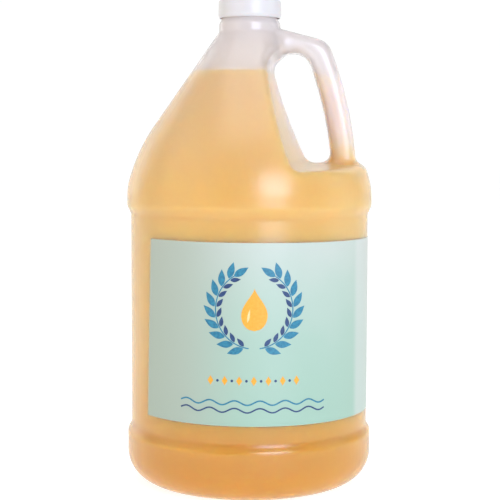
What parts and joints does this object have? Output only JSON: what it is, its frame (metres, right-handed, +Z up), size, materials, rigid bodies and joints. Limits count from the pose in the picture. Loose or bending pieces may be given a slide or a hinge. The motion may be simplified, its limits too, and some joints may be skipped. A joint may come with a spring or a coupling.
{
  "type": "handled oil jug with screw cap",
  "caption": "Round translucent plastic jug with a moulded-in hollow handle, filled with golden oil, closed by a plain white screw cap and wrapped with a pale green label.",
  "frame": {"origin": "middle of the base, on the surface that the jug stands on", "axes": "+Z up along the neck, +X towards the handle, -Y towards the front of the label"},
  "size_m": [0.1544, 0.1544, 0.3029],
  "materials": {
    "natural_polyethylene": "blow-moulded, satin, translucent",
    "golden_oil": "clear liquid",
    "white_polypropylene": "injection-moulded, satin",
    "foam_liner": "foamed polyethylene",
    "label_paper": "semi-gloss coated paper"
  },
  "bodies": {
    "jug": {"jug": "natural_polyethylene", "oil": "golden_oil", "front_label": "label_paper"},
    "liner": {"cap_liner": "foam_liner"},
    "cap": {"screw_cap": "white_polypropylene"}
  },
  "joints": [
    {"name": "cap_lift", "type": "slide", "parent": "jug", "child": "liner", "axis": [0, 0, 1], "range_m": [0, 0.00953]},
    {"name": "cap_turn", "type": "hinge", "parent": "liner", "child": "cap", "pos_m": [0, 0, 0.3016], "axis": [0, 0, 1], "range_deg": [0, 810]}
  ],
  "couplings": [
    {"joint": "cap_lift", "follows": "cap_turn", "m_per_rad": 0.00067376}
  ]
}
